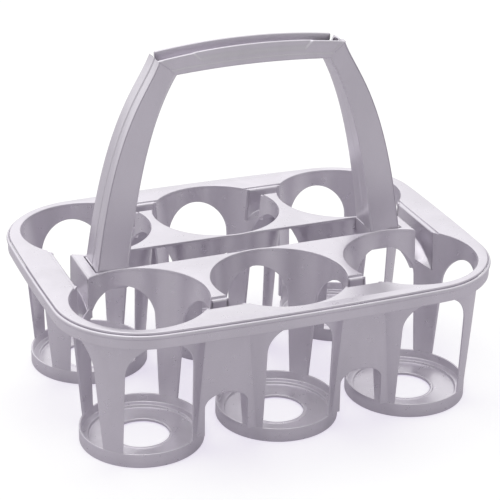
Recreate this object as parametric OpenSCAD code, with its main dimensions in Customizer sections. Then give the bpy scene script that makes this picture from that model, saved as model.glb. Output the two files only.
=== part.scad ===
/* [Cups] */
// Distance between neighbouring cups along the carrier
cup_pitch = 110; // [109:0.5:114]
// Distance between the front and the back row of cups
row_pitch = 137; // [136:0.5:140]
// Inner radius of a cup at its mouth
mouth_r = 51.9; // [51:0.1:52.4]
// Outer radius of a cup's base ring
base_r = 47.4; // [46:0.1:48.2]
// Thickness of a cup's wall
wall_t = 1.7; // [1.4:0.1:2]
// Height of the closed ring at the foot of a cup
ring_h = 11.3; // [9:0.1:14]
// Width of a cup window at its foot
window_foot_w = 53.8; // [48:0.2:55]
// Width of a cup window where its round top starts
window_top_w = 52.2; // [47:0.2:54]
// Height of the highest point of a cup window
window_apex_z = 102.5; // [96:0.5:104]

/* [Cup base] */
// Radius of the hole in the floor of a cup
floor_hole_r = 21.1; // [15:0.1:25]
// Inner radius of the raised ledge round the floor
ledge_r = 40.7; // [38:0.1:43]
// Height of the ledge's top
ledge_z = 4.4; // [3.8:0.1:6]
// Gap between the floor and what the carrier stands on
floor_gap = 0.6; // [0.4:0.1:1]
// Thickness of the floor
floor_t = 1.6; // [1.2:0.1:2]
// Width of the rounded lip round the floor's hole
lip_w = 1.8; // [1.2:0.1:3]
// Height of that lip above the floor
lip_h = 0.8; // [0.4:0.1:1.4]

/* [Deck] */
// Height of the deck's top above the ground
deck_z = 116.2; // [115:0.2:125]
// Thickness of the deck's plates
plate_t = 2.2; // [1.8:0.1:2.8]
// Distance from the middle to a corner's centre, along the carrier
corner_x = 106.4; // [104:0.2:108]
// Distance from the middle to a corner's centre, across the carrier
corner_y = 61.1; // [60:0.1:63]
// Radius of the deck's outer corners
corner_r = 66; // [65:0.5:68]
// Radius of the slight outward bow of the long and the short sides
bow_r = 2400; // [1500:50:4000]
// Step from the plates down to the tops of the hanging walls
step_h = 1; // [0.6:0.1:1.4]
// Thickness of the hanging walls
web_t = 3.1; // [2:0.1:3.3]

/* [Rim] */
// How far the rim stands out past the deck's edge
rim_out = 2.4; // [1.8:0.1:4]
// Step from the deck's edge down to the rim's bead
rim_drop = 1.7; // [1:0.1:2]
// Height of the rim from the bead to its lower edge
rim_h = 11; // [8:0.1:14]

/* [Deck gaps] */
// Distance from the middle to the inner face of the outer end webs
outer_web_x = 147.6; // [146:0.2:149]
// Distance from the middle to the inner face of the front and back webs
outer_web_y = 100.9; // [99:0.1:102]
// Distance from the middle to the inner face of the inner end webs
inner_web_x = 133.1; // [132:0.1:135]
// Distance from the middle to the ends of the centre plate's necks
centre_plate_y = 85.5; // [84:0.1:89]
// Half the width of the slot along the middle
slot_y = 16; // [15.5:0.1:16.4]
// Distance from the middle to the ends of the slot
slot_x = 127.8; // [127.4:0.1:129]

/* [Webs] */
// Half the width of the arch under a front or back web
web_arch_w = 17; // [14:0.5:18]
// Height where the round part of that arch starts
web_arch_z = 34.5; // [28:0.5:45]
// Height of the round part of that arch
web_arch_h = 11; // [8:0.5:15]
// Thickness of the arched floors of the gaps
gap_floor_t = 2; // [1.6:0.1:2.6]
// Height of an end gap's floor beside the outer web, at its middle
end_floor_out_z = 98.8; // [94:0.2:104]
// Height of that floor beside the inner web, at its middle
end_floor_in_z = 93.5; // [90:0.5:98]
// Radius of that floor's arch
end_floor_r = 45; // [42:0.5:52]
// Height of a neck gap's floor at its middle
neck_floor_z = 96; // [92:0.5:100]
// Radius of that floor's arch
neck_floor_r = 16.8; // [16:0.2:22]
// Lowest height of the notch beside a neck in a cup's wall
neck_notch_z = 88; // [86:0.5:92]
// Step from the deck down to the top of a neck's wall
neck_step_h = 1.6; // [1:0.1:2]
// Height where the notch in a corner cup's wall starts, at its inner side
notch_in_z = 90.9; // [86:0.1:96]
// Height where that notch ends, at its outer side
notch_out_z = 83.3; // [78:0.1:86]

/* [Handle] */
// Highest point of the grip
grip_top_z = 281; // [270:0.5:300]
// Height of the grip's top at its outer corners
grip_corner_z = 275.4; // [268:0.2:279]
// Distance from the middle to the grip's outer corners
grip_corner_x = 75.4; // [70:0.2:80]
// Lowest point of the grip, at its middle
grip_low_z = 266.1; // [265:0.1:269]
// Height of the grip's inner corners
grip_inner_z = 263.6; // [262:0.1:265]
// Distance from the middle to the grip's inner corners
grip_inner_x = 61; // [58:0.2:63]
// Distance from the middle to a leg's inner edge at the deck
foot_in_x = 101.2; // [98:0.2:103]
// Distance from the middle to a leg's outer edge at the deck
foot_out_x = 127; // [124:0.2:127.4]
// Depth of the legs at the deck, front to back
foot_depth = 30; // [26:0.2:30.4]
// Depth of the grip at its top, front to back
grip_depth = 23.2; // [20:0.2:26]
// Thickness of the handle's walls
handle_t = 2.2; // [1.8:0.1:3]
// How far a foot reaches below the deck's top
foot_drop = 17; // [10:0.5:18]
// Distance from the middle to the slits at the ends of the grip's rear wall
slit_x = 71; // [69:0.2:72]
// Width of those slits
slit_w = 3.2; // [2:0.2:3.6]
// Height of the slits' lower ends
slit_z = 268; // [266:0.5:270]
// Gap between a foot and the slot's sides
foot_gap = 0.4; // [0.3:0.1:1]

/* [Hidden] */
$fn = 128;
bow_fn = 720;
lip_fn = 24;
curve_steps = 16;
// Angle between the points of an arch, in degrees
arch_step = 7.5;
silver = [0.69, 0.68, 0.71];
pale_silver = [0.76, 0.75, 0.78];
// Slack past a face, so that a cut goes right through
eps = 1;
cup_y = row_pitch / 2;
plate_z = deck_z - plate_t;
wall_top_z = deck_z - step_h;
mouth_out_r = mouth_r + wall_t;
window_r = window_top_w / 2;
window_spring_z = window_apex_z - window_r;
neck_gap_y = centre_plate_y + web_t;
end_gap_x = inner_web_x + web_t;
outer_plate_x = outer_web_x + web_t;
outer_plate_y = outer_web_y + web_t;
rim_top_z = deck_z - rim_drop;
rim_low_z = rim_top_z - rim_h;
end_floor_tilt = atan((end_floor_out_z - end_floor_in_z) / (outer_web_x - end_gap_x));
end_web_low_z = end_floor_in_z - end_floor_r / 2;
neck_floor_low_z = neck_floor_z - neck_floor_r;
// Length that reaches past the whole carrier
past_all = 3 * (corner_x + corner_r);
// Bend points of a leg's two edges, between the foot and the grip
leg_in_bend = [[96.2, 153.8], [87.1, 223.2]];
leg_out_bend = [[110, 231.8], [84.9, 249.8]];

// Outer radius of a cup's cone at height z
function cup_r(z) = base_r + (mouth_out_r - base_r) * (z - ring_h) / (deck_z - ring_h);

// Half the handle's depth at height z
function handle_y(z) = (foot_depth + (grip_depth - foot_depth) * (z - deck_z) / (grip_top_z - deck_z)) / 2;

// Point of a cubic curve through p[0] and p[3], drawn towards p[1] and p[2]
function bezier(p, t) = pow(1 - t, 3) * p[0] + 3 * pow(1 - t, 2) * t * p[1]
    + 3 * (1 - t) * t * t * p[2] + pow(t, 3) * p[3];

// Direction of that curve
function bezier_run(p, t) = let (d = 3 * pow(1 - t, 2) * (p[1] - p[0]) + 6 * (1 - t) * t * (p[2] - p[1])
    + 3 * t * t * (p[3] - p[2])) d / norm(d);

// The curve's points, moved inset to the left of its direction
function bezier_line(p, inset) = [for (i = [0:curve_steps]) let (t = i / curve_steps, d = bezier_run(p, t))
    bezier(p, t) + inset * [-d[1], d[0]]];

// Points of a round arch of half width w that springs from height z and rises by h
function arch(w, z, h) = [for (a = [0:arch_step:180]) [w * cos(a), z + h * sin(a)]];

// Radius of an arc over a chord of half width w that rises by h
function arc_r(w, h) = (w * w + h * h) / (2 * h);

// Region inside the deck's outer edge, moved outward by out
module outline(out) {
    side_r = bow_r + out;
    long_c = sqrt(pow(bow_r - corner_r, 2) - pow(corner_x, 2)) - corner_y;
    short_c = sqrt(pow(bow_r - corner_r, 2) - pow(corner_y, 2)) - corner_x;
    touch = side_r / (bow_r - corner_r);
    intersection() {
        translate([0, long_c]) circle(side_r, $fn = bow_fn);
        translate([0, -long_c]) circle(side_r, $fn = bow_fn);
        translate([short_c, 0]) circle(side_r, $fn = bow_fn);
        translate([-short_c, 0]) circle(side_r, $fn = bow_fn);
        union() {
            square([2 * touch * corner_x, past_all], center = true);
            square([past_all, 2 * touch * corner_y], center = true);
        }
    }
    for (x = [-1, 1], y = [-1, 1]) translate([x * corner_x, y * corner_y]) circle(corner_r + out);
}

// The six mouths, in plan
module mouths() {
    for (col = [-1:1], row = [-1, 1]) translate([col * cup_pitch, row * cup_y]) circle(mouth_r);
}

// Band outside the deck's edge
module rim_band() {
    translate([0, 0, rim_low_z]) linear_extrude(rim_h) difference() {
        outline(rim_out);
        outline(0);
    }
}

// Plate between the outer edge, the mouths and the gap round the centre deck
module outer_plate() {
    translate([0, 0, plate_z]) linear_extrude(plate_t) difference() {
        outline(0);
        mouths();
        square([2 * outer_plate_x, row_pitch], center = true);
        square([2 * cup_pitch, 2 * outer_plate_y], center = true);
    }
}

// Plate between the two rows, with the handle's slot
module centre_plate() {
    translate([0, 0, plate_z]) linear_extrude(plate_t) difference() {
        square([2 * end_gap_x, 2 * centre_plate_y], center = true);
        mouths();
        square([2 * slot_x, 2 * slot_y], center = true);
    }
}

// Box between two corners given in any order
module box(a, b) {
    low = [for (i = [0:2]) min(a[i], b[i])];
    high = [for (i = [0:2]) max(a[i], b[i])];
    translate(low) cube(high - low);
}

// Full cone of a cup's outer surface, a little longer than the wall
module cup_cone(col, row) {
    low = ring_h - eps;
    high = deck_z + eps;
    translate([col * cup_pitch, row * cup_y, low]) cylinder(h = high - low, r1 = cup_r(low), r2 = cup_r(high));
}

// Conical wall of a cup between two heights
module cone_shell(z0, z1) {
    translate([0, 0, z0]) difference() {
        cylinder(h = z1 - z0, r1 = cup_r(z0), r2 = cup_r(z1));
        translate([0, 0, -eps]) cylinder(
            h = z1 - z0 + 2 * eps, r1 = cup_r(z0 - eps) - wall_t, r2 = cup_r(z1 + eps) - wall_t);
    }
}

// Two opposite arched windows, cut straight across a cup
module window_pair() {
    rotate([90, 0, 0]) linear_extrude(past_all, center = true) {
        polygon([
            [-window_foot_w / 2, ring_h - eps], [window_foot_w / 2, ring_h - eps],
            [window_r, window_spring_z], [-window_r, window_spring_z]
        ]);
        translate([0, window_spring_z]) circle(window_r);
    }
}

// Conical wall with four windows, raised to the webs' height where no plate covers it
module cup_wall(col, row) {
    difference() {
        translate([col * cup_pitch, row * cup_y]) cone_shell(ring_h, wall_top_z);
        plate_space(col, row);
        translate([col * cup_pitch, row * cup_y]) {
            window_pair();
            rotate([0, 0, 90]) window_pair();
        }
        if (col != 0) end_notch(col, row);
        if (col != 1) neck_notch(col + 1 / 2, row);
        if (col != -1) neck_notch(col - 1 / 2, row);
    }
}

// Space above the plates' underside, less the gaps between the two decks
module plate_space(col, row) {
    difference() {
        box([-past_all, 0, plate_z], [past_all, row * past_all, deck_z]);
        box([-cup_pitch, row * neck_gap_y, 0], [cup_pitch, row * outer_plate_y, deck_z + eps]);
        if (col != 0) box([col * end_gap_x, -eps, 0], [col * outer_plate_x, row * cup_y, deck_z + eps]);
    }
}

// Space cut from a corner cup's wall in the gap between the decks
module end_notch(col, row) {
    rotate([90, 0, 0]) linear_extrude(row_pitch, center = true) polygon([
        [col * end_gap_x, notch_in_z], [col * outer_web_x, notch_out_z],
        [col * outer_web_x, deck_z], [col * end_gap_x, deck_z]
    ]);
}

// Space cut from the two cups' walls in the gap beyond a neck, place counted in cup pitches
module neck_notch(place, row) {
    difference() {
        neck_box(place, row, neck_gap_y, outer_web_y, neck_notch_z, deck_z + eps);
        neck_arch(place, row, neck_floor_r);
    }
}

// Box between two cups of a row, between two depths and two heights
module neck_box(place, row, y0, y1, z0, z1) {
    box([(place - 1 / 4) * cup_pitch, row * y0, z0], [(place + 1 / 4) * cup_pitch, row * y1, z1]);
}

// Round bar under a neck gap's floor
module neck_arch(place, row, r) {
    translate([place * cup_pitch, row * outer_plate_y, neck_floor_low_z]) rotate([row * 90, 0, 0])
        cylinder(h = cup_y / 2, r = r);
}

// Slanting round bar under an end gap's floor
module end_arch(side, r) {
    translate([side * end_gap_x, 0, end_floor_in_z - end_floor_r / cos(end_floor_tilt)])
        rotate([0, side * (90 - end_floor_tilt), 0]) cylinder(h = cup_pitch, r = r, center = true);
}

// Ring, ledge and floor at the foot of a cup
module cup_base(col, row) {
    in_r = base_r - wall_t;
    floor_z = floor_gap + floor_t;
    translate([col * cup_pitch, row * cup_y]) rotate_extrude() {
        polygon([
            [base_r, 0], [base_r, ring_h], [in_r, ring_h], [in_r, ledge_z], [ledge_r, ledge_z],
            [ledge_r, floor_z], [floor_hole_r, floor_z], [floor_hole_r, floor_gap],
            [ledge_r + floor_t, floor_gap], [ledge_r + floor_t, ledge_z - floor_t],
            [in_r, ledge_z - floor_t], [in_r, 0]
        ]);
        translate([floor_hole_r + lip_w / 2, floor_z + lip_h - lip_w / 2]) circle(lip_w / 2, $fn = lip_fn);
    }
}

// Arched wall between two neighbouring cups of a row
module long_web(side, row) {
    foot = [[-web_arch_w, ring_h - eps], [web_arch_w, ring_h - eps]];
    difference() {
        translate([side * cup_pitch / 2, row * (outer_web_y + web_t / 2)]) rotate([90, 0, 0])
            linear_extrude(web_t, center = true) difference() {
                translate([-cup_pitch / 4, ring_h]) square([cup_pitch / 2, wall_top_z - ring_h]);
                polygon(concat(foot, arch(web_arch_w, web_arch_z, web_arch_h)));
            }
        cup_cone(0, row);
        cup_cone(side, row);
    }
}

// Wall across one end between two distances from the middle, with an arched lower edge
module end_wall(side, x0, x1, top_z) {
    difference() {
        box([side * x0, -cup_y / 2, end_web_low_z], [side * x1, cup_y / 2, top_z]);
        end_arch(side, end_floor_r - gap_floor_t);
        cup_cone(side, -1);
        cup_cone(side, 1);
    }
}

// Arched floor of the gap between the two end webs
module end_floor(side) {
    intersection() {
        end_wall(side, end_gap_x, outer_web_x, deck_z);
        end_arch(side, end_floor_r);
    }
}

// Short wall that hangs from the end of a neck, with an arched lower edge
module neck_wall(place, row) {
    difference() {
        neck_box(place, row, centre_plate_y, neck_gap_y, neck_floor_low_z, deck_z - neck_step_h);
        neck_arch(place, row, neck_floor_r - gap_floor_t);
        cup_cone(place - 1 / 2, row);
        cup_cone(place + 1 / 2, row);
    }
}

// Arched floor of the gap beyond a neck
module neck_floor(place, row) {
    difference() {
        intersection() {
            neck_box(place, row, neck_gap_y, outer_web_y, neck_floor_low_z, deck_z);
            neck_arch(place, row, neck_floor_r);
        }
        neck_arch(place, row, neck_floor_r - gap_floor_t);
        cup_cone(place - 1 / 2, row);
        cup_cone(place + 1 / 2, row);
    }
}

// Slab between the handle's front and rear faces, made thinner by inset on each side
module depth_slab(inset) {
    low = handle_y(deck_z) - inset;
    high = handle_y(grip_top_z) - inset;
    rotate([90, 0, 90]) linear_extrude(past_all, center = true)
        polygon([[-low, deck_z], [low, deck_z], [high, grip_top_z], [-high, grip_top_z]]);
}

// Front view of a leg, made thinner by inset on each side
module leg_face(inset) {
    in_p = [[foot_in_x, deck_z], leg_in_bend[0], leg_in_bend[1], [grip_inner_x, grip_inner_z]];
    out_p = [[foot_out_x, deck_z], leg_out_bend[0], leg_out_bend[1], [grip_corner_x, grip_corner_z]];
    in_line = bezier_line(in_p, -inset);
    out_line = bezier_line(out_p, inset);
    past = inset > 0 ? [
        in_line[curve_steps] + handle_t * bezier_run(in_p, 1),
        out_line[curve_steps] + handle_t * bezier_run(out_p, 1)
    ] : [];
    back = [for (i = [curve_steps:-1:0]) out_line[i]];
    polygon(concat(in_line, past, back));
}

// Leg of the handle: a hollow box section, open at the top, with a slit in its rear wall
module leg(side) {
    mirror([side < 0 ? 1 : 0, 0, 0]) difference() {
        intersection() {
            rotate([90, 0, 0]) linear_extrude(foot_depth, center = true) leg_face(0);
            depth_slab(0);
        }
        intersection() {
            rotate([90, 0, 0]) linear_extrude(foot_depth, center = true) leg_face(handle_t);
            depth_slab(handle_t);
            translate([0, -foot_depth / 2, deck_z + handle_t]) cube([past_all, foot_depth, grip_top_z]);
        }
        translate([slit_x, 0, slit_z]) cube([slit_w, foot_depth, grip_top_z]);
    }
}

// Plug under a leg, with the tab that snaps under the centre deck
module foot(side) {
    half = foot_depth / 2 - foot_gap;
    box([side * foot_in_x, -half, deck_z - foot_drop], [side * foot_out_x, half, deck_z]);
    box([side * foot_out_x, -half / 2, plate_z - 2 * handle_t], [side * (slot_x + handle_t), half / 2, plate_z]);
}

// Front view of the grip
module grip_face() {
    top_r = arc_r(grip_corner_x, grip_top_z - grip_corner_z);
    difference() {
        intersection() {
            polygon([
                [-grip_inner_x, grip_inner_z], [grip_inner_x, grip_inner_z], [grip_corner_x, grip_corner_z],
                [grip_corner_x, grip_top_z], [-grip_corner_x, grip_top_z], [-grip_corner_x, grip_corner_z]
            ]);
            translate([0, grip_top_z - top_r]) circle(top_r, $fn = bow_fn);
        }
        grip_under(0);
    }
}

// Region under the grip's arched underside, raised by lift
module grip_under(lift) {
    low_r = arc_r(grip_inner_x, grip_low_z - grip_inner_z);
    translate([0, grip_low_z - low_r]) circle(low_r + lift, $fn = bow_fn);
}

// Channel between the two mitres, open at the top
module grip_channel() {
    difference() {
        intersection() {
            rotate([90, 0, 0]) linear_extrude(foot_depth, center = true) grip_face();
            depth_slab(0);
        }
        intersection() {
            rotate([90, 0, 0]) linear_extrude(foot_depth, center = true) difference() {
                translate([-grip_corner_x - eps, grip_inner_z])
                    square([2 * (grip_corner_x + eps), grip_top_z]);
                grip_under(handle_t);
            }
            translate([0, 0, eps]) depth_slab(handle_t);
        }
    }
}

// Channel less the two ends of its rear wall
module grip_body() {
    difference() {
        grip_channel();
        for (side = [-1, 1]) box(
            [side * slit_x, 0, grip_inner_z - eps], [side * cup_pitch, foot_depth, grip_top_z + eps]);
    }
}

// The nodes
module rim() color(silver) rim_band();
module outer_deck() color(pale_silver) outer_plate();
module centre_deck() color(pale_silver) centre_plate();
module front_left_cup() color(silver) cup_wall(-1, -1);
module front_middle_cup() color(silver) cup_wall(0, -1);
module front_right_cup() color(silver) cup_wall(1, -1);
module back_left_cup() color(silver) cup_wall(-1, 1);
module back_middle_cup() color(silver) cup_wall(0, 1);
module back_right_cup() color(silver) cup_wall(1, 1);
module front_left_base() color(silver) cup_base(-1, -1);
module front_middle_base() color(silver) cup_base(0, -1);
module front_right_base() color(silver) cup_base(1, -1);
module back_left_base() color(silver) cup_base(-1, 1);
module back_middle_base() color(silver) cup_base(0, 1);
module back_right_base() color(silver) cup_base(1, 1);
module front_left_web() color(silver) long_web(-1, -1);
module front_right_web() color(silver) long_web(1, -1);
module back_left_web() color(silver) long_web(-1, 1);
module back_right_web() color(silver) long_web(1, 1);
module left_outer_web() color(silver) end_wall(-1, outer_web_x, outer_plate_x, wall_top_z);
module right_outer_web() color(silver) end_wall(1, outer_web_x, outer_plate_x, wall_top_z);
module left_inner_web() color(silver) end_wall(-1, inner_web_x, end_gap_x, plate_z);
module right_inner_web() color(silver) end_wall(1, inner_web_x, end_gap_x, plate_z);
module front_left_neck_wall() color(silver) neck_wall(-1 / 2, -1);
module front_right_neck_wall() color(silver) neck_wall(1 / 2, -1);
module back_left_neck_wall() color(silver) neck_wall(-1 / 2, 1);
module back_right_neck_wall() color(silver) neck_wall(1 / 2, 1);
module front_left_neck_floor() color(silver) neck_floor(-1 / 2, -1);
module front_right_neck_floor() color(silver) neck_floor(1 / 2, -1);
module back_left_neck_floor() color(silver) neck_floor(-1 / 2, 1);
module back_right_neck_floor() color(silver) neck_floor(1 / 2, 1);
module left_end_floor() color(silver) end_floor(-1);
module right_end_floor() color(silver) end_floor(1);
module left_foot() color(silver) foot(-1);
module right_foot() color(silver) foot(1);
module left_leg() color(silver) leg(-1);
module right_leg() color(silver) leg(1);
module grip() color(silver) grip_body();

rim();
outer_deck();
centre_deck();
front_left_cup();
front_middle_cup();
front_right_cup();
back_left_cup();
back_middle_cup();
back_right_cup();
front_left_base();
front_middle_base();
front_right_base();
back_left_base();
back_middle_base();
back_right_base();
front_left_web();
front_right_web();
back_left_web();
back_right_web();
left_outer_web();
right_outer_web();
left_inner_web();
right_inner_web();
front_left_neck_wall();
front_right_neck_wall();
back_left_neck_wall();
back_right_neck_wall();
front_left_neck_floor();
front_right_neck_floor();
back_left_neck_floor();
back_right_neck_floor();
left_end_floor();
right_end_floor();
left_foot();
right_foot();
left_leg();
right_leg();
grip();
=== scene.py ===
import math

import bmesh
import bpy
from mathutils import Matrix, Vector
from mathutils.geometry import tessellate_polygon


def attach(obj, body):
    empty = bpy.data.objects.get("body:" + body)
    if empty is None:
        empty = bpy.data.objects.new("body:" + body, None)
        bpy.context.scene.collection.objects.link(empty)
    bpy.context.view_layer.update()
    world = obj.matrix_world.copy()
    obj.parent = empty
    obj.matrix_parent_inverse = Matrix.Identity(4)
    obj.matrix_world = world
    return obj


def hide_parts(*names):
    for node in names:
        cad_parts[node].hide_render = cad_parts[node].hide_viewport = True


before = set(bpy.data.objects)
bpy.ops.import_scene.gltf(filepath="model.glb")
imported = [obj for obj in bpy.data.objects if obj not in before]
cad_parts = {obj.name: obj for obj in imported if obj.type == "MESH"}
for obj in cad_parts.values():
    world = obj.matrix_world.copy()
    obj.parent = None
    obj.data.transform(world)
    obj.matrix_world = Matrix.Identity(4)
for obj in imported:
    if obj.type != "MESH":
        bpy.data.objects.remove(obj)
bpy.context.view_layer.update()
mm = 0.001

# sizes shared by several pieces, in millimetres
deck = {"z": 116.2, "plate": 2.2, "cornerX": 106.4, "cornerY": 61.1, "cornerR": 66, "bowR": 2400}
cup = {"pitchX": 110, "pitchY": 137, "mouthR": 51.9, "baseR": 47.4, "wall": 1.7, "ringH": 11.3,
       "winFoot": 26.9, "winTop": 26.1, "winApex": 102.5}
gap = {"outerX": 147.6, "outerY": 100.9, "innerX": 133.1, "plateY": 85.5, "slotX": 127.8, "slotY": 16,
       "web": 3.1, "step": 1, "neckStep": 1.6}
floors = {"thick": 2.0, "outZ": 98.8, "inZ": 93.5, "endR": 45, "neckZ": 96, "neckR": 16.8, "fillet": 0.9}
notch = {"neckZ": 88, "inZ": 90.9, "outZ": 83.3, "overZ": 117, "nearY": 2, "farY": 4}

wallTop = deck["z"] - gap["step"]  # walls round the gaps end a step below the deck
plateLow = deck["z"] - deck["plate"]
cupY = cup["pitchY"] / 2
innerEnd = gap["innerX"] + gap["web"]  # outer faces of the hanging walls
outerEnd = gap["outerX"] + gap["web"]
neckEnd = gap["plateY"] + gap["web"]
outerSide = gap["outerY"] + gap["web"]

rowNames = {-1: "front", 1: "back"}
colNames = {-1: "left", 0: "middle", 1: "right"}
cupPlaces = [(col, row, f"{rowNames[row]}_{colNames[col]}") for row in rowNames for col in colNames]


# mesh helpers
def objectName(node):  # front_left_cup becomes frontLeftCup
    first, *others = node.split("_")
    return first + "".join(word.title() for word in others)


def newMesh(name, verts, faces, material, flat):
    mesh = bpy.data.meshes.new(name)
    mesh.from_pydata([[c * mm for c in v] for v in verts], [], faces)
    mesh.validate()
    obj = bpy.data.objects.new(name, mesh)
    bpy.context.scene.collection.objects.link(obj)
    mesh.materials.append(material)
    weldPoints(mesh)
    mesh.shade_smooth()
    mesh.set_sharp_from_angle(angle=math.radians(flat))
    return obj


def weldPoints(mesh):
    bm = bmesh.new()
    bm.from_mesh(mesh)
    bmesh.ops.remove_doubles(bm, verts=bm.verts, dist=2e-6)
    bmesh.ops.dissolve_degenerate(bm, dist=1e-7, edges=bm.edges)
    bmesh.ops.recalc_face_normals(bm, faces=bm.faces)
    bm.to_mesh(mesh)
    bm.free()


def gridFaces(first, rows, cols, around=False):
    faces = []
    for r in range(rows - 1):
        for c in range(cols if around else cols - 1):
            d = (c + 1) % cols
            a = first + r * cols
            faces.append([a + c, a + d, a + cols + d, a + cols + c])
    return faces


class Builder:
    def __init__(self):
        self.verts, self.faces = [], []

    def rows(self, rows, around=False):
        first = len(self.verts)
        for row in rows:
            self.verts.extend([tuple(p) for p in row])
        self.faces.extend(gridFaces(first, len(rows), len(rows[0]), around))

    def cap(self, points, flatLoops):  # closes an end, flatLoops is its outline and holes laid flat
        first = len(self.verts)
        self.verts.extend(points)
        triangles = tessellate_polygon([[Vector((*p, 0)) for p in loop] for loop in flatLoops])
        self.faces.extend([[first + i for i in t] for t in triangles])

    def piece(self, node, material, flat=32):
        obj = newMesh(objectName(node), self.verts, self.faces, material, flat)
        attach(obj, "root")
        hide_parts(node)
        return obj


def arcPoints(cx, cy, r, a0, a1, n):
    turns = [math.radians(a0 + (a1 - a0) * i / n) for i in range(n + 1)]
    return [(cx + r * math.cos(t), cy + r * math.sin(t)) for t in turns]


def halfTurn(loop):
    return [(-x, -y) for x, y in loop]


def area(loop):
    return sum(a[0] * b[1] - b[0] * a[1] for a, b in zip(loop, loop[1:] + loop[:1])) / 2


def tidyLoop(loop, least=0.02):  # drops points that all but meet
    out = []
    for p in loop:
        if not out or math.dist(p, out[-1]) > least:
            out.append(p)
    if math.dist(out[0], out[-1]) <= least:
        out.pop()
    return out


def insetLoop(loop, d):  # d: one size, or a list with one for each point
    n = len(loop)
    depth = d if isinstance(d, list) else [d] * n
    sharpest = 0.45  # keeps the points of sharp corners from running away
    out = []
    for i in range(n):
        p, a, b = Vector(loop[i]), Vector(loop[i - 1]), Vector(loop[(i + 1) % n])
        u, v = (p - a).normalized(), (b - p).normalized()
        m = Vector((-u.y - v.y, u.x + v.x))
        if m.length < 1e-6:
            m = Vector((-u.y, u.x))
        m.normalize()
        cosHalf = max(sharpest, m.dot(Vector((-u.y, u.x))))
        out.append(tuple(p + m * depth[i] / cosHalf))
    return out


def roundCorners(points, radius, steps=5):  # radius: one size, or a list with one for each corner
    straight = math.radians(172)
    most = 0.48  # share of a side that one corner may use
    out = []
    n = len(points)
    for i in range(n):
        r = radius[i] if isinstance(radius, list) else radius
        p, a, b = Vector(points[i]), Vector(points[i - 1]), Vector(points[(i + 1) % n])
        u, v = (a - p), (b - p)
        corner = u.angle(v)
        if corner > straight:
            out.append(tuple(p))
            continue
        cut = min(r / math.tan(corner / 2), u.length * most, v.length * most)
        rr = cut * math.tan(corner / 2)
        u.normalize()
        v.normalize()
        centre = p + (u + v).normalized() * (rr / math.sin(corner / 2))
        start, end = p + u * cut - centre, p + v * cut - centre
        turn = start.angle_signed(end)
        for k in range(steps + 1):
            out.append(tuple(centre + Matrix.Rotation(-turn * k / steps, 2) @ start))
    return out


# a flat plate with rounded edges, edgeHigh is a size or a function of x and y
def slabRows(b, loops, low, high, edgeLow, edgeHigh, steps=3):
    ends = []
    for k, loop in enumerate(loops):
        loop = tidyLoop(loop)
        if (area(loop) > 0) != (k == 0):  # the outline turns one way, holes the other
            loop = loop[::-1]
        upper = [edgeHigh(x, y) if callable(edgeHigh) else edgeHigh for x, y in loop]
        rows = []
        for i in range(steps + 1):
            t = math.pi / 2 * i / steps
            z = low + edgeLow * (1 - math.cos(t))
            rows.append([(x, y, z) for x, y in insetLoop(loop, edgeLow * (1 - math.sin(t)))])
        for i in range(steps + 1):
            t = math.pi / 2 * i / steps
            inner = insetLoop(loop, [e * (1 - math.cos(t)) for e in upper])
            rows.append([(x, y, high - e * (1 - math.sin(t))) for (x, y), e in zip(inner, upper)])
        b.rows(rows, around=True)
        ends.append((insetLoop(loop, edgeLow), insetLoop(loop, upper)))
    for which, z in ((0, low), (1, high)):
        flatLoops = [end[which] for end in ends]
        b.cap([(x, y, z) for loop in flatLoops for x, y in loop], flatLoops)


# (z, half width) up one side of an arched window, from its foot to its apex
def archSide(low, spring, footW, topW, rise, grow, straight, curved):
    rows = []
    for i in range(straight + 1):
        t = i / straight
        rows.append((low + (spring - low) * t, footW + (topW - footW) * t + grow))
    for i in range(1, curved + 1):
        a = math.pi / 2 * i / curved
        rows.append((spring + (rise + grow) * math.sin(a), max(0, (topW + grow) * math.cos(a))))
    return rows


def edgeSteps(edge, thick, steps=4):  # (growth, depth) over both rounded edges of a cut through a wall
    turns = [math.pi / 2 * i / steps for i in range(steps + 1)]
    near = [(edge * (1 - math.sin(t)), edge * (1 - math.cos(t))) for t in turns]
    far = [(edge * (1 - math.cos(t)), thick - edge * (1 - math.sin(t))) for t in turns]
    return near + far


def addNode(tree, kind, values=None, **options):  # shader node with its options and inputs set
    node = tree.nodes.new(kind)
    for key, value in options.items():
        setattr(node, key, value)
    for key, value in (values or {}).items():
        node.inputs[key].default_value = value
    return node


# materials
silver = {"base": (0.725, 0.693, 0.752), "metal": 0.75, "rough": 0.3, "coat": 0.15, "coatRough": 0.22,
          "flakeScale": 2600, "flake": 0.035, "flowScale": 26, "flowStretch": 0.22, "flow": 0.05,
          "scuffScale": 140, "smoother": 0.03, "rougher": 0.07, "grainScale": 900, "grain": 0.05,
          "grainHeight": 0.0002, "wave": 0.1, "waveHeight": 0.0012}


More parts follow.
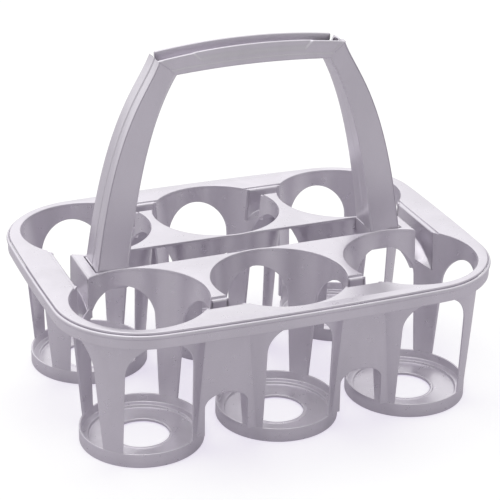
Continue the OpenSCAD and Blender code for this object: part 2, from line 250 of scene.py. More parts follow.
def plastic(name, values):
    mat = bpy.data.materials.new(name)
    mat.use_nodes = True
    tree = mat.node_tree
    link = tree.links.new
    bsdf = tree.nodes["Principled BSDF"]

    def noise(scale, detail, roughness, distortion=0):
        return addNode(tree, "ShaderNodeTexNoise", {"Scale": values[scale], "Detail": detail,
                                                    "Roughness": roughness, "Distortion": distortion})

    def mapTo(source, low, high, outLow, outHigh):
        node = addNode(tree, "ShaderNodeMapRange", {"From Min": low, "From Max": high,
                                                    "To Min": outLow, "To Max": outHigh})
        link(source.outputs["Fac"], node.inputs["Value"])
        return node.outputs["Result"]

    coord = addNode(tree, "ShaderNodeTexCoord")
    flake = noise("flakeScale", 2, 0.6)  # pigment
    flow = noise("flowScale", 3, 0.55, 0.7)  # streaks of the melt in the mould
    grain = noise("grainScale", 3, 0.55)
    scuff = noise("scuffScale", 6, 0.75)
    stretch = addNode(tree, "ShaderNodeMapping", {"Scale": (1, 1, values["flowStretch"])})
    for node in (flake, grain, scuff):
        link(coord.outputs["Object"], node.inputs["Vector"])
    link(coord.outputs["Object"], stretch.inputs["Vector"])
    link(stretch.outputs["Vector"], flow.inputs["Vector"])

    gain = addNode(tree, "ShaderNodeMath", operation="MULTIPLY")
    link(mapTo(flake, 0.3, 0.7, 1 - values["flake"], 1 + values["flake"]), gain.inputs[0])
    link(mapTo(flow, 0.3, 0.7, 1 - values["flow"], 1 + values["flow"]), gain.inputs[1])
    tint = addNode(tree, "ShaderNodeMix", {"Factor": 1, "A": (*values["base"], 1)},
                   data_type="RGBA", blend_type="MULTIPLY")
    link(gain.outputs["Value"], tint.inputs["B"])
    link(tint.outputs["Result"], bsdf.inputs["Base Color"])
    least, most = values["rough"] - values["smoother"], values["rough"] + values["rougher"]
    link(mapTo(scuff, 0.35, 0.75, least, most), bsdf.inputs["Roughness"])
    bsdf.inputs["Metallic"].default_value = values["metal"]
    bsdf.inputs["Coat Weight"].default_value = values["coat"]
    bsdf.inputs["Coat Roughness"].default_value = values["coatRough"]

    bump = addNode(tree, "ShaderNodeBump", {"Strength": values["grain"], "Distance": values["grainHeight"]})
    wave = addNode(tree, "ShaderNodeBump", {"Strength": values["wave"], "Distance": values["waveHeight"]})
    link(grain.outputs["Fac"], bump.inputs["Height"])
    link(flow.outputs["Fac"], wave.inputs["Height"])
    link(bump.outputs["Normal"], wave.inputs["Normal"])
    link(wave.outputs["Normal"], bsdf.inputs["Normal"])
    return mat


basketSilver = plastic("basketSilver", silver)
handleSilver = plastic("handleSilver", {**silver, "rough": 0.33})


# rim
rim = {"drop": 1.7, "height": 11, "out": 2.4, "skirtOut": 1.55, "bead": 3.5, "beadDeep": 1.45,
       "beadFrom": -78, "beadTurn": 168}


def deckLoop(out, bowSteps=28, cornerSteps=26):  # the deck's bowed outline, moved outwards
    cx, cy, r, bow = deck["cornerX"], deck["cornerY"], deck["cornerR"], deck["bowR"]
    longC = math.sqrt((bow - r) ** 2 - cx ** 2) - cy
    shortC = math.sqrt((bow - r) ** 2 - cy ** 2) - cx
    beta = math.degrees(math.asin(cx / (bow - r)))
    gamma = math.degrees(math.asin(cy / (bow - r)))
    half = arcPoints(0, longC, bow + out, -90 - beta, -90 + beta, bowSteps)
    half += arcPoints(cx, -cy, r + out, -90 + beta, -gamma, cornerSteps)[1:]
    half += arcPoints(-shortC, 0, bow + out, -gamma, gamma, bowSteps)[1:]
    half += arcPoints(cx, cy, r + out, gamma, 90 - beta, cornerSteps)[1:-1]
    return half + halfTurn(half)


def makeRim():
    top = deck["z"] - rim["drop"]
    low = top - rim["height"]
    out, skirt, bead, deep = rim["out"], rim["skirtOut"], rim["bead"], rim["beadDeep"]
    # the profile as (distance out from the deck, height), from the skirt's foot up its outer face
    profile = [(0, low + 1.2), (0.15, low + 0.45), (0.5, low + 0.08), (0.85, low), (1.25, low + 0.12),
               (skirt - 0.05, low + 0.45), (skirt, low + 1.0), (skirt, low + 3.5),
               (skirt, top - bead - 1.2), (skirt - 0.05, top - bead - 0.6),
               (skirt - 0.12, top - bead - 0.3), (skirt - 0.05, top - bead - 0.08)]
    for i in range(1, 16):
        turn = math.radians(rim["beadFrom"] + rim["beadTurn"] * i / 15)
        profile.append((out - deep + deep * math.cos(turn), top - bead / 2 + bead / 2 * math.sin(turn)))
    profile += [(0.8, top - 0.12), (0.62, top - 0.45), (0.5, top - 0.9), (0.36, top - 1.15),
                (0.15, top - 1.1), (0, top - 0.9)]
    b = Builder()
    b.rows([[(x, y, z) for x, y in deckLoop(o)] for o, z in profile + profile[:1]], around=True)
    b.piece("rim", basketSilver)


makeRim()
print("rim made")


# decks
plates = {"edgeTop": 0.8, "edgeLow": 0.15, "centreEdge": 0.6, "endRoll": 1.9}


def mouthArc(col, a0, a1, steps):  # part of a cup's mouth in the back row
    return arcPoints(col * cup["pitchX"], cupY, cup["mouthR"], a0, a1, steps)


def outerInner():  # inner outline of the outer deck
    endA = math.degrees(math.acos((outerEnd - cup["pitchX"]) / cup["mouthR"]))
    topA = math.degrees(math.asin((outerSide - cupY) / cup["mouthR"]))
    half = mouthArc(1, -endA, 180 - topA, 80)
    half += mouthArc(0, topA, 180 - topA, 60)
    half += mouthArc(-1, topA, 180 + endA, 80)
    return half + halfTurn(half)


def makeOuterDeck():
    b = Builder()
    slabRows(b, [deckLoop(0), outerInner()], plateLow, deck["z"], plates["edgeLow"], plates["edgeTop"], 4)
    b.piece("outer_deck", basketSilver)


def slotLoop():  # the handle's slot, which the cups' outer faces cut into
    x, y = gap["slotX"], gap["slotY"]
    out = cup["mouthR"] + cup["wall"]
    half = math.degrees(math.acos((cupY - y) / out))
    loop = [(x, y)]
    for col in (1, 0, -1):
        loop += arcPoints(col * cup["pitchX"], cupY, out, 270 + half, 270 - half, 10)
    loop += [(-x, y)]
    return loop + halfTurn(loop)


def centreLoop():
    endA = math.degrees(math.acos((innerEnd - cup["pitchX"]) / cup["mouthR"]))
    neckA = math.degrees(math.asin((gap["plateY"] - cupY) / cup["mouthR"]))
    half = mouthArc(1, -endA, -180 - neckA, 90)
    half += mouthArc(0, neckA, -180 - neckA, 90)
    half += mouthArc(-1, neckA, -180 + endA, 90)
    return half + halfTurn(half)


def makeCentreDeck():
    def edge(x, y):  # the two ends are rolled over
        return plates["endRoll"] if abs(x) > innerEnd - 0.1 else plates["centreEdge"]

    b = Builder()
    slabRows(b, [centreLoop(), slotLoop()], plateLow, deck["z"], plates["edgeLow"], edge, 5)
    b.piece("centre_deck", basketSilver)


makeOuterDeck()
makeCentreDeck()
print("decks made")


# cups
cupLook = {"edge": 0.45, "cols": 28, "even": 0.4, "straightRows": 14, "archRows": 18, "topRows": 6}


def coneR(z):  # outer radius of a cup at that height
    mouth = cup["mouthR"] + cup["wall"]
    return cup["baseR"] + (mouth - cup["baseR"]) * (z - cup["ringH"]) / (deck["z"] - cup["ringH"])


def cupWall(col, row, node):
    edge, wall, cols, even = cupLook["edge"], cup["wall"], cupLook["cols"], cupLook["even"]
    spring = cup["winApex"] - cup["winTop"]
    cx, cy = col * cup["pitchX"], row * cupY

    def windowSide(grow):
        return archSide(cup["ringH"], spring, cup["winFoot"], cup["winTop"], cup["winTop"], grow,
                        cupLook["straightRows"], cupLook["archRows"])

    def onWall(angle, z, depth):
        r = coneR(z) - depth
        return (cx + r * math.cos(angle), cy + r * math.sin(angle), z)

    def windowAngle(z, half, depth):  # half of the angle that a window takes
        return math.asin(min(1, half / (coneR(z) - depth)))

    def topZ(angle):  # the wall ends under a plate, or higher where it stands in a gap
        r = coneR(deck["z"]) - wall / 2
        x, y = abs(cx + r * math.cos(angle)), abs(cy + r * math.sin(angle))
        inNeck = neckEnd < y < outerSide and x < cup["pitchX"]
        inEnd = innerEnd < x < outerEnd and y < cupY
        return wallTop if inNeck or inEnd else plateLow

    b = Builder()
    base = windowSide(edge)
    last = base[-1][0]
    # columns stand closer together beside the windows
    shares = [(1 - even) * (0.5 - 0.5 * math.cos(math.pi * i / cols)) + even * i / cols
              for i in range(cols + 1)]
    for start in [quarter * math.pi / 2 for quarter in range(4)]:
        tops = []
        for depth in (0, wall):
            rows = []
            for z, half in base:
                lo = windowAngle(z, half, depth)
                rows.append([onWall(start + lo + (math.pi / 2 - 2 * lo) * share, z, depth)
                             for share in shares])
            for i in range(1, cupLook["topRows"] + 1):
                line = []
                for share in shares:
                    a = start + math.pi / 2 * share
                    line.append(onWall(a, last + (topZ(a) - last) * (i / cupLook["topRows"]), depth))
                rows.append(line)
            b.rows(rows)
            tops.append(rows[-1])
        b.rows(tops)
        for atEnd in (False, True):  # rounded edges along the windows
            strips = []
            for grow, depth in edgeSteps(edge, wall):
                line = []
                for z, half in windowSide(grow):
                    lo = windowAngle(z, half, depth)
                    line.append(onWall(start + math.pi / 2 - lo if atEnd else start + lo, z, depth))
                strips.append(line)
            b.rows(strips)
    return b.piece(node, basketSilver, flat=40)


# a cutter with its outline in x and z and its length in y
def prism(loop, low, high, sideX=1, sideY=1, middle=0):
    n = len(loop)
    verts = [(middle + sideX * x, sideY * y, z) for y in (low, high) for x, z in loop]
    faces = [list(range(n)), list(range(2 * n - 1, n - 1, -1))]
    faces += [[i, (i + 1) % n, (i + 1) % n + n, i + n] for i in range(n)]
    return newMesh("cutter", verts, faces, basketSilver, 32)


def cutAway(obj, cutter):
    mod = obj.modifiers.new("cut", "BOOLEAN")
    mod.operation = "DIFFERENCE"
    mod.solver = "EXACT"
    mod.object = cutter
    bpy.context.view_layer.update()
    deps = bpy.context.evaluated_depsgraph_get()
    mesh = bpy.data.meshes.new_from_object(obj.evaluated_get(deps))
    obj.modifiers.clear()
    old = obj.data
    obj.data = mesh
    bpy.data.meshes.remove(old)
    mesh.name = obj.name
    bpy.data.objects.remove(cutter)
    mesh.set_sharp_from_angle(angle=math.radians(40))


def cutEndNotch(obj, col, row):  # opens a corner cup's wall to the gap between the decks
    loop = [(innerEnd, notch["inZ"]), (gap["outerX"], notch["outZ"]), (gap["outerX"], notch["overZ"]),
            (innerEnd, notch["overZ"])]
    cutAway(obj, prism(loop, notch["nearY"], cupY - notch["farY"], col, row))


def neckTop(x, lift=0.0):  # height of a neck gap's arched floor
    r = floors["neckR"]
    return floors["neckZ"] - r + math.sqrt(max(0.0, (r + lift) ** 2 - x * x))


def cutNeckNotch(obj, middle, row):  # opens a cup's wall to the gap beyond a neck
    low, high = notch["neckZ"], notch["overZ"]
    flatX = next(i / 20 for i in range(400) if neckTop(i / 20) <= low)  # where the arch meets the flat
    across = [-flatX + 2 * flatX * i / 24 for i in range(25)]
    arch = [(x, max(low, neckTop(x))) for x in across]
    wide = cup["pitchX"] / 4
    loop = [(-wide, high), (-wide, low)] + arch + [(wide, low), (wide, high)]
    cutAway(obj, prism(loop, neckEnd, gap["outerY"], 1, row, middle))


def makeCups():
    for col, row, name in cupPlaces:
        wall = cupWall(col, row, f"{name}_cup")
        if col:
            cutEndNotch(wall, col, row)
        for side in (-1, 1):
            if col != side:
                cutNeckNotch(wall, (col + side / 2) * cup["pitchX"], row)


makeCups()
print("cups made")


# cup bases
baseLook = {"floor": 0.6, "floorT": 1.6, "ledgeR": 40.7, "ledgeZ": 4.4, "holeR": 21.1, "lipH": 0.8,
            "cols": 144}


def cupBase(col, row, node):
    r, h, cols = cup["baseR"], cup["ringH"], baseLook["cols"]
    inR = r - cup["wall"]
    lowZ, thick = baseLook["floor"], baseLook["floorT"]
    topZ = lowZ + thick
    ledgeR, ledgeZ, holeR = baseLook["ledgeR"], baseLook["ledgeZ"], baseLook["holeR"]
    # (radius, height) and rounding of each corner: up the outside, down the inside, back under the floor
    corners = [((r, 0.0), 0.5), ((r, h), 0.45), ((inR, h), 0.45), ((inR, ledgeZ), 0.9),
               ((ledgeR, ledgeZ), 0.7), ((ledgeR - 0.5, topZ), 0.6), ((holeR + 2.6, topZ), 0.4),
               ((holeR + 2.0, topZ + 0.62), 0.5), ((holeR + 0.5, topZ + baseLook["lipH"]), 0.5),
               ((holeR, topZ + 0.3), 0.3), ((holeR, lowZ), 0.3), ((ledgeR + 1.2, lowZ), 0.5),
               ((ledgeR + 1.6, ledgeZ - thick), 0.4), ((inR, ledgeZ - thick), 0.4), ((inR, 0.0), 0.4)]
    profile = roundCorners([point for point, _ in corners], [radius for _, radius in corners], 4)
    turns = [2 * math.pi * i / cols for i in range(cols)]
    cx, cy = col * cup["pitchX"], row * cupY
    b = Builder()
    b.rows([[(cx + pr * math.cos(t), cy + pr * math.sin(t), pz) for t in turns]
            for pr, pz in profile + profile[:1]], around=True)
    b.piece(node, basketSilver, flat=35)


for colId, rowId, cupName in cupPlaces:
    cupBase(colId, rowId, f"{cupName}_base")
print("bases made")


# front and back webs
longLook = {"archW": 17, "archZ": 34.5, "archH": 11, "fillet": 5.0, "backFillet": 0.35, "sink": 0.3,
            "edge": 0.5, "topEdge": 1.8, "straightRows": 8, "archRows": 14, "wallRows": 16, "rollRows": 6}


def longWeb(col, row, node):
    edge, roll = longLook["edge"], longLook["topEdge"]
    half = cup["pitchX"] / 2
    middle = col * half
    dIn, dOut = gap["outerY"] - cupY, outerSide - cupY

    def webArch(grow):
        return archSide(cup["ringH"], longLook["archZ"], longLook["archW"], longLook["archW"],
                        longLook["archH"], grow, longLook["straightRows"], longLook["archRows"])

    # one side of the web at one height, x from its middle, from a fillet at the cup's wall to the arch
    def section(z, archX, front, depth=0):
        side = 1 if front else -1
        f = longLook["fillet" if front else "backFillet"]
        y = dOut if front else dIn + depth
        dy, dr = y + side * f, coneR(z) - longLook["sink"] + f
        dx = math.sqrt(max(0.01, dr * dr - dy * dy))
        touch = math.degrees(math.atan2(-dy, -dx)) + (0 if front else 360)
        arc = arcPoints(dx, dy, f, touch, -90 * side, 8)
        start, limit = arc[-1][0], half - archX
        points = [(min(x, limit), py) for x, py in arc]
        points += [(start + (limit - start) * i / 7 if limit > start else limit, y) for i in range(1, 8)]
        return [(half - x, py) for x, py in points]

    levels = [(z, w, 0) for z, w in webArch(edge)]  # (height, arch's half width, depth of the top's roll)
    apex = levels[-1][0]
    rows = longLook["wallRows"]
    levels += [(apex + (wallTop - roll - apex) * i / rows, 0, 0) for i in range(1, rows + 1)]
    for k in range(1, longLook["rollRows"] + 1):
        t = math.pi / 2 * k / longLook["rollRows"]
        levels.append((wallTop - roll * (1 - math.sin(t)), 0, roll * (1 - math.cos(t))))

    b = Builder()
    for side in (-1, 1):
        def place(x, y, z):
            return (middle + side * x, row * (cupY + y), z)

        front = [[place(x, y, z) for x, y in section(z, w, True)] for z, w, _ in levels]
        back = [[place(x, y, z) for x, y in section(z, w, False, depth)] for z, w, depth in levels]
        b.rows(front)
        b.rows(back)
        b.rows([front[-1], back[-1]])
        b.rows([[place(w, dOut - depth, z) for z, w in webArch(grow)]
                for grow, depth in edgeSteps(edge, gap["web"])])
    b.piece(node, basketSilver, flat=38)


for rowId, rowName in rowNames.items():
    for colId in (-1, 1):
        longWeb(colId, rowId, f"{rowName}_{colNames[colId]}_web")
print("front and back webs made")


# hanging walls and floors at the two ends and beyond the necks
endLook = {"edge": 0.5, "roll": 1.8, "sharp": 0.12, "overlap": 0.6, "lap": 0.05, "wallRows": 12,
           "rollRows": 5, "floorRows": 6}
roundTurns = (math.pi / 2, 1.05, 0.5, 0)  # steps round a small edge
endTilt = math.atan((floors["outZ"] - floors["inZ"]) / (gap["outerX"] - innerEnd))


def endTop(x, y, lift=0.0):  # height of an end floor's top
    r = floors["endR"]
    middle = floors["inZ"] - r / math.cos(endTilt) + (x - innerEnd) * math.tan(endTilt)
    return middle + math.sqrt(max(0.0, (r + lift) ** 2 - y * y)) / math.cos(endTilt)


def endUnder(x, y):
    return endTop(x, y, -floors["thick"])


def neckHeight(y, x, lift=0.0):
    return neckTop(x, lift)


def neckUnder(y, x):
    return neckTop(x, -floors["thick"])


def endReach(x, z):  # how far a wall across an end runs before it is inside the cups' walls
    r = coneR(z) - endLook["overlap"]
    return cupY - math.sqrt(max(0.0, r * r - (x - cup["pitchX"]) ** 2))


def neckReach(y, z):
    r = coneR(z) - endLook["overlap"]
    return cup["pitchX"] / 2 - math.sqrt(max(0.0, r * r - (y - cupY) ** 2))


# point at a share of a curved edge, whose reach depends on its height and the other way round
def settle(share, at, reach, height):
    z = deck["z"] - 25
    for _ in range(8):
        u = share * reach(at, z)
        z = height(at, u)
    return u, z


def closeSides(b, one, other):  # joins the borders of two facing grids
    for end in (0, -1):
        b.rows([one[end], other[end]])
    for end in (0, -1):
        b.rows([[line[end] for line in one], [line[end] for line in other]])


def evenShares(cols):  # from -1 to 1
    return [2 * i / cols - 1 for i in range(cols + 1)]


# rolls: rounding of the top edge on the near and the far face
def hangingWall(node, cols, place, near, reach, under, topZ, rolls):
    b = Builder()
    edge, wallRows, rollRows = endLook["edge"], endLook["wallRows"], endLook["rollRows"]
    shares = evenShares(cols)
    sides = []
    for at, inward, roll in ((near, 1, rolls[0]), (near + gap["web"], -1, rolls[1])):
        feet = [settle(share, at, reach, under) for share in shares]
        rows = []
        for turn in roundTurns:
            depth, lift = edge * (1 - math.cos(turn)), edge * (1 - math.sin(turn))
            rows.append([place(u, at + inward * depth, z + lift) for u, z in feet])
        for j in range(1, wallRows):
            heights = [foot + edge + (topZ - roll - foot - edge) * j / wallRows for _, foot in feet]
            rows.append([place(share * reach(at, z), at, z) for share, z in zip(shares, heights)])
        for k in range(rollRows + 1):
            turn = math.pi / 2 * k / rollRows
            z, depth = topZ - roll * (1 - math.sin(turn)), roll * (1 - math.cos(turn))
            rows.append([place(share * reach(at, z), at + inward * depth, z) for share in shares])
        b.rows(rows)
        sides.append(rows)
    closeSides(b, *sides)
    b.piece(node, basketSilver, flat=38)


def gapFloor(node, cols, place, near, far, reach, height):
    b = Builder()
    f, n = floors["fillet"], endLook["floorRows"]
    stops = [(near + f * (1 - math.cos(t)), f * (1 - math.sin(t))) for t in reversed(roundTurns)]
    mids = [(near + f + (far - near - 2 * f) * i / n, 0) for i in range(1, n)]
    stops = stops + mids + [(near + far - at, lift) for at, lift in reversed(stops)]
    top, low = [], []
    for at, lift in stops:
        edge = [settle(share, at, reach, height) for share in evenShares(cols)]
        top.append([place(u, at, z + lift) for u, z in edge])
        low.append([place(u, at, height(at, u, -floors["thick"])) for u, _ in edge])
    b.rows(top)
    b.rows(low)
    closeSides(b, top, low)
    b.piece(node, basketSilver, flat=38)


def makeEnds():
    for side in (-1, 1):
        def place(y, x, z):
            return (side * x, y, z)

        name = colNames[side]
        hangingWall(f"{name}_outer_web", 64, place, gap["outerX"], endReach, endUnder, wallTop,
                    (endLook["roll"], endLook["sharp"]))
        hangingWall(f"{name}_inner_web", 40, place, gap["innerX"], endReach, endUnder,
                    plateLow + endLook["lap"], (endLook["sharp"], endLook["sharp"]))
        gapFloor(f"{name}_end_floor", 48, place, innerEnd, gap["outerX"], endReach, endTop)


def makeNecks():
    for row, rowName in rowNames.items():
        for side in (-1, 1):
            def place(x, y, z):
                return (side * cup["pitchX"] / 2 + x, row * y, z)

            name = f"{rowName}_{colNames[side]}"
            hangingWall(f"{name}_neck_wall", 16, place, gap["plateY"], neckReach, neckUnder,
                        deck["z"] - gap["neckStep"], (endLook["sharp"], endLook["roll"]))
            gapFloor(f"{name}_neck_floor", 24, place, neckEnd, gap["outerY"], neckReach, neckHeight)


makeEnds()
makeNecks()
print("end webs, neck walls and their floors made")


# handle
grip = {"top": 281.0, "cornerZ": 275.4, "cornerX": 75.4, "low": 266.1, "innerZ": 263.6, "innerX": 61.0,
        "footDepth": 30.0, "topDepth": 23.2, "wall": 2.2}
slit = {"x": 71.0, "wide": 3.2, "leftWide": 0.6, "z": 268.0, "lowZ": 264, "overZ": 284, "endX": 80,
        "legY": 7.0, "gripY": 8.2, "farY": 17.0, "lap": 0.3, "least": 0.4, "taper": 2.2,
        "flare": 1.4, "flareZ": 8}
legIn = [(101.2, deck["z"]), (96.2, 153.8), (87.1, 223.2), (grip["innerX"], grip["innerZ"])]  # x, z
legOut = [(127.0, deck["z"]), (110.0, 231.8), (84.9, 249.8), (grip["cornerX"], grip["cornerZ"])]
legLook = {"rows": 60, "hollowFrom": 0.55, "bead": 2.6, "crease": 1.0, "creaseDeep": 3.6, "creaseY": -1.0,
           "frontInset": 0.45, "ridge": 1.0, "groove": 0.8, "rearEdge": 0.8}


def bezier(p, t):
    a, b, c, d = [(1 - t) ** 3, 3 * (1 - t) ** 2 * t, 3 * (1 - t) * t * t, t ** 3]
    return Vector((a * p[0][0] + b * p[1][0] + c * p[2][0] + d * p[3][0],
                   a * p[0][1] + b * p[1][1] + c * p[2][1] + d * p[3][1]))


def halfDepth(z):  # the handle is deeper at its feet than at the grip
    above, whole = z - deck["z"], grip["top"] - deck["z"]
    return (grip["footDepth"] + (grip["topDepth"] - grip["footDepth"]) * above / whole) / 2


def legSection(w, h):  # (p, y): p from 0 at the inner face to w, y from -h at the front to h
    c, cy, ridge, rear = (legLook[k] for k in ("crease", "creaseY", "ridge", "rearEdge"))
    front = -h + legLook["frontInset"]
    corners = [((0, -h + 0.1), 0.4), ((ridge, -h + 0.1), 0.35), ((ridge + 0.7, front + 0.3), 0.2),
               ((w - 2.5, front), 0.2), ((w - 2.0, front + legLook["groove"]), 0.2),
               ((w - 1.4, -h + 0.1), 0.6), ((w, -h + 4.0), legLook["bead"]), ((w, cy - 3.6), 2.0),
               ((w - c, cy - 1.4), 0.4), ((w - legLook["creaseDeep"], cy), 0.3), ((w - c, cy + 1.3), 0.4),
               ((w - c, h), rear), ((c * 0.6, h), rear), ((c * 0.6, cy + 0.9), 0.3),
               ((c * 0.6 + 0.4, cy), 0.2), ((0, cy - 1.0), 0.8)]
    return roundCorners([point for point, _ in corners], [radius for _, radius in corners], 6)


def cutLegSlit(leg, side):
    wide = slit["wide"] if side > 0 else slit["leftWide"]  # the left slit is hardly open
    x0, x1, z0 = slit["x"] - slit["lap"], slit["x"] + wide, slit["z"]
    lowX, highX = max(x0 + slit["least"], x1 - slit["taper"]), x1 + slit["flare"]
    loop = [(x0, z0), (lowX, z0), (highX, z0 + slit["flareZ"]), (highX, slit["overZ"]), (x0, slit["overZ"])]
    cutAway(leg, prism(loop, slit["legY"], slit["farY"], side))


def makeLeg(side):
    b = Builder()
    n, wall = legLook["rows"], grip["wall"]
    outer, inner = [], []
    for i in range(n + 1):
        a, c = bezier(legIn, i / n), bezier(legOut, i / n)
        w = (c - a).length
        across = (c - a) / w
        half = halfDepth((a.y + c.y) / 2)
        h = half - wall
        line, lineIn = [], []
        for p, y in legSection(w, half):
            q = a + across * p
            line.append((side * q.x, y * halfDepth(q.y) / half, q.y))
        for p, y in roundCorners([(wall, -h), (w - wall, -h), (w - wall, h), (wall, h)], 1.0, 3):
            q = a + across * p
            lineIn.append((side * q.x, y, q.y))
        outer.append(line)
        inner.append(lineIn)
    inner = inner[int(n * legLook["hollowFrom"]):]
    b.rows(outer, around=True)
    b.rows(inner, around=True)
    mitre = (outer[-1], inner[-1])
    b.cap(mitre[0] + mitre[1], [[(side * p[0], p[1]) for p in loop] for loop in mitre])
    for loop in (outer[0], inner[0]):
        b.cap(loop, [[p[:2] for p in loop]])
    cutLegSlit(b.piece(f"{colNames[side]}_leg", handleSilver, flat=30), side)


footLook = {"deep": 17, "clear": 0.4, "corner": 1.2, "edgeLow": 0.6, "edgeTop": 0.05}


def makeFoot(side):
    b = Builder()
    half = grip["footDepth"] / 2 - footLook["clear"]
    x0, x1 = side * legIn[0][0], side * legOut[0][0]
    loop = roundCorners([(x0, -half), (x1, -half), (x1, half), (x0, half)], footLook["corner"], 4)
    slabRows(b, [loop], deck["z"] - footLook["deep"], deck["z"], footLook["edgeLow"], footLook["edgeTop"])
    b.piece(f"{colNames[side]}_foot", handleSilver)


gripLook = {"cols": 200, "recess": 1.3, "recessLowX": 40.5, "recessTopX": 47.5, "bandTop": 0.3,
            "joint": 0.4, "jointFrom": 0.955, "jointTo": 0.998, "jointSoft": 0.015}


def smooth(t):
    t = max(0.0, min(1.0, t))
    return t * t * (3 - 2 * t)


def makeGrip():
    n, wt, band = gripLook["cols"], grip["wall"], gripLook["bandTop"]
    rise, drop = grip["top"] - grip["cornerZ"], grip["low"] - grip["innerZ"]
    topR = (grip["cornerX"] ** 2 + rise ** 2) / (2 * rise)
    lowR = (grip["innerX"] ** 2 + drop ** 2) / (2 * drop)

    # the channel's section as (share of the height, depth from the face) on its three sides
    front = [(0.0, 0.9), (0.0, 0.45), (0.03, 0.12), (0.08, 0.0), (0.14, 0.0), (band - 0.07, 0.0),
             (band - 0.02, 0.1), (band + 0.01, 0.42), (band + 0.05, 0.52), (0.42, 0.5), (0.52, 0.48),
             (0.62, 0.46), (0.72, 0.44), (0.82, 0.42), (0.9, 0.4), (0.95, 0.46), (0.985, 0.75), (1.0, 1.2)]
    inside = [(1.0, wt - 0.4), (0.985, wt - 0.1), (0.955, wt), (0.6, wt), (0.3, wt), (0.2, wt + 0.4),
              (0.165, wt + 1.5)]
    back = [(0.16, wt + 1.5), (0.19, wt + 0.4), (0.3, wt), (0.6, wt), (0.955, wt), (0.985, wt - 0.2),
            (1.0, wt - 0.6), (1.0, 0.6), (0.985, 0.2), (0.95, 0.0), (0.6, 0.0), (0.3, 0.0), (0.06, 0.0),
            (0.02, 0.15), (0.0, 0.6)]

    def heightAt(x, v):
        z0 = grip["low"] - lowR + math.sqrt(lowR ** 2 - min(abs(x), grip["innerX"] + 14) ** 2)
        z1 = grip["top"] - topR + math.sqrt(topR ** 2 - x * x)
        return z0 + (z1 - z0) * v

    def recess(x, v):  # shallow hollow above the band, with slanting ends
        slant = gripLook["recessTopX"] - gripLook["recessLowX"]
        edgeX = gripLook["recessLowX"] + slant * (v - 0.45) / 0.55
        return gripLook["recess"] * smooth((v - 0.42) / 0.36) * smooth((edgeX + 1.0 - abs(x)) / 2.0)

    def joint(s, v):  # low bead along each mitre
        begin, end, soft = gripLook["jointFrom"], gripLook["jointTo"], gripLook["jointSoft"]
        bead = smooth((abs(s) - begin) / soft) * smooth((end - abs(s)) / soft)
        return gripLook["joint"] * bead * smooth((v - 0.3) / 0.1) * smooth((0.97 - v) / 0.05)

    def section(s):  # s from -1 at the left mitre to 1 at the right one
        out = []
        for k, (v, y) in enumerate(front + inside + back):
            x = s * (grip["innerX"] + (grip["cornerX"] - grip["innerX"]) * v)
            z = heightAt(x, v)
            half = halfDepth(z)
            if k <= len(front):
                y += recess(x, v)
            if k < len(front):
                y -= joint(s, v)
            out.append((x, -half + y if k < len(front) + len(inside) else half - y, z))
        return out

    b = Builder()
    rows = [section(-1 + 2 * i / n) for i in range(n + 1)]
    b.rows(rows, around=True)
    for loop in (rows[0], rows[-1]):
        b.cap(loop, [[p[1:] for p in loop]])
    obj = b.piece("grip", handleSilver, flat=35)
    loop = [(slit["x"], slit["lowZ"]), (slit["endX"], slit["lowZ"]), (slit["endX"], slit["overZ"]),
            (slit["x"], slit["overZ"])]
    for side in (-1, 1):
        cutAway(obj, prism(loop, slit["gripY"], slit["farY"], side))


for makeHalf in (makeLeg, makeFoot):
    makeHalf(-1)
    makeHalf(1)
makeGrip()
print("handle made")


# floor, light and camera
light = {"back": 1.27, "front": 0.36, "horizon": 0.6, "strength": 2.0, "brightSide": (-0.10, 0.62, 0.78),
         "worldGlossy": 0.0, "floorGlossy": 0.25, "floorSeen": (0.476, 0.544, 0.364),
         "floorLift": (0.585, 0.523, 0.688), "floorBounce": (0.42, 0.392, 0.442), "floorHalf": 6.0,
         "topLamp": 2.5, "leftLamp": 0.3}


def seenFactor(tree, glossyShare):  # 1 for camera rays, a share for reflections and glass
    path = addNode(tree, "ShaderNodeLightPath")
    glossy = addNode(tree, "ShaderNodeMath", operation="MAXIMUM")
    share = addNode(tree, "ShaderNodeMath", {1: glossyShare}, operation="MULTIPLY")
    either = addNode(tree, "ShaderNodeMath", operation="MAXIMUM")
    tree.links.new(path.outputs["Is Glossy Ray"], glossy.inputs[0])
    tree.links.new(path.outputs["Is Transmission Ray"], glossy.inputs[1])
    tree.links.new(glossy.outputs["Value"], share.inputs[0])
    tree.links.new(path.outputs["Is Camera Ray"], either.inputs[0])
    tree.links.new(share.outputs["Value"], either.inputs[1])
    return either.outputs["Value"]


def mixSeen(tree, glossyShare, other, seen, output):
    mix = addNode(tree, "ShaderNodeMixShader")
    tree.links.new(seenFactor(tree, glossyShare), mix.inputs["Fac"])
    tree.links.new(other, mix.inputs[1])
    tree.links.new(seen, mix.inputs[2])
    tree.links.new(mix.outputs["Shader"], tree.nodes[output].inputs["Surface"])


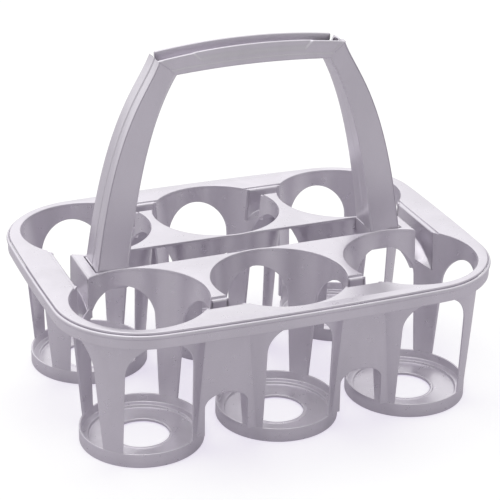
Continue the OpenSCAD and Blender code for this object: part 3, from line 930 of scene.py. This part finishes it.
def makeFloor():
    mesh = bpy.data.meshes.new("floor")
    s = light["floorHalf"]
    mesh.from_pydata([(-s, -s, 0), (s, -s, 0), (s, s, 0), (-s, s, 0)], [], [[0, 1, 2, 3]])
    obj = bpy.data.objects.new("floor", mesh)
    bpy.context.scene.collection.objects.link(obj)
    mat = bpy.data.materials.new("floorWhite")
    mat.use_nodes = True
    tree = mat.node_tree
    tree.nodes.remove(tree.nodes["Principled BSDF"])
    seen = addNode(tree, "ShaderNodeBsdfDiffuse", {"Color": (*light["floorSeen"], 1)})
    lift = addNode(tree, "ShaderNodeEmission", {"Color": (*light["floorLift"], 1), "Strength": 1})
    bounce = addNode(tree, "ShaderNodeBsdfDiffuse", {"Color": (*light["floorBounce"], 1)})
    both = addNode(tree, "ShaderNodeAddShader")
    tree.links.new(seen.outputs["BSDF"], both.inputs[0])
    tree.links.new(lift.outputs["Emission"], both.inputs[1])
    mixSeen(tree, light["floorGlossy"], bounce.outputs["BSDF"], both.outputs["Shader"], "Material Output")
    mesh.materials.append(mat)


def areaLamp(name, where, aim, sizeX, sizeY):
    lamp = bpy.data.lights.new(name, "AREA")
    lamp.shape = "RECTANGLE"
    lamp.size, lamp.size_y = sizeX, sizeY
    lamp.energy = light[name]
    obj = bpy.data.objects.new(name, lamp)
    bpy.context.scene.collection.objects.link(obj)
    obj.location = where
    obj.rotation_euler = (Vector(aim) - Vector(where)).to_track_quat("-Z", "Y").to_euler()


def grey(level):
    return (level, level, level, 1)


def makeLight():
    world = bpy.data.worlds.new("studio")
    bpy.context.scene.world = world
    world.use_nodes = True
    tree = world.node_tree
    sky = tree.nodes["Background"]
    coord = addNode(tree, "ShaderNodeTexCoord")
    dot = addNode(tree, "ShaderNodeVectorMath", {1: light["brightSide"]}, operation="DOT_PRODUCT")
    shift = addNode(tree, "ShaderNodeMapRange", {"From Min": -1, "From Max": 1})
    ramp = addNode(tree, "ShaderNodeValToRGB")
    strength = light["strength"]
    stops = ramp.color_ramp.elements
    stops[0].position, stops[0].color = 0.0, grey(light["front"] / strength)
    stops[1].position, stops[1].color = 1.0, grey(light["back"] / strength)
    stops.new(0.5).color = grey(light["horizon"] / strength)
    tree.links.new(coord.outputs["Generated"], dot.inputs[0])
    tree.links.new(dot.outputs["Value"], shift.inputs["Value"])
    tree.links.new(shift.outputs["Result"], ramp.inputs["Fac"])
    tree.links.new(ramp.outputs["Color"], sky.inputs["Color"])
    sky.inputs["Strength"].default_value = strength
    white = addNode(tree, "ShaderNodeBackground", {"Color": (1, 1, 1, 1), "Strength": 1.0})
    mixSeen(tree, light["worldGlossy"], sky.outputs["Background"], white.outputs["Background"],
            "World Output")
    areaLamp("topLamp", (-0.1, 0.1, 1.6), (0, 0, 0.1), 1.4, 0.9)
    areaLamp("leftLamp", (-1.4, 0.1, 1.0), (0, 0, 0.15), 0.8, 1.0)


# focal is in pixels of the photo, which is pictureWidth pixels wide
view = {"focal": 1790.93, "pictureWidth": 500, "sensor": 36, "azimuth": 21.78, "elevation": 24.14,
        "roll": 0.83, "distance": 1.5565, "target": (0.05299, 0.12385, 0.04848)}


def makeCamera():
    az, el, roll = (math.radians(view[k]) for k in ("azimuth", "elevation", "roll"))
    forward = Vector((math.sin(az) * math.cos(el), math.cos(az) * math.cos(el), -math.sin(el)))
    level = Vector((math.cos(az), -math.sin(az), 0))
    upright = level.cross(forward)
    right = level * math.cos(roll) + upright * math.sin(roll)
    up = -level * math.sin(roll) + upright * math.cos(roll)
    cam = bpy.data.cameras.new("camera")
    cam.sensor_width = view["sensor"]
    cam.lens = view["focal"] * view["sensor"] / view["pictureWidth"]
    cam.clip_start, cam.clip_end = 0.05, 50
    obj = bpy.data.objects.new("camera", cam)
    bpy.context.scene.collection.objects.link(obj)
    place = Vector(view["target"]) - forward * view["distance"]
    turn = Matrix((right, up, -forward)).transposed().to_4x4()
    obj.matrix_world = Matrix.Translation(place) @ turn
    bpy.context.scene.camera = obj


makeFloor()
makeLight()
makeCamera()
bpy.context.scene.view_settings.view_transform = "Standard"
print("stage made")
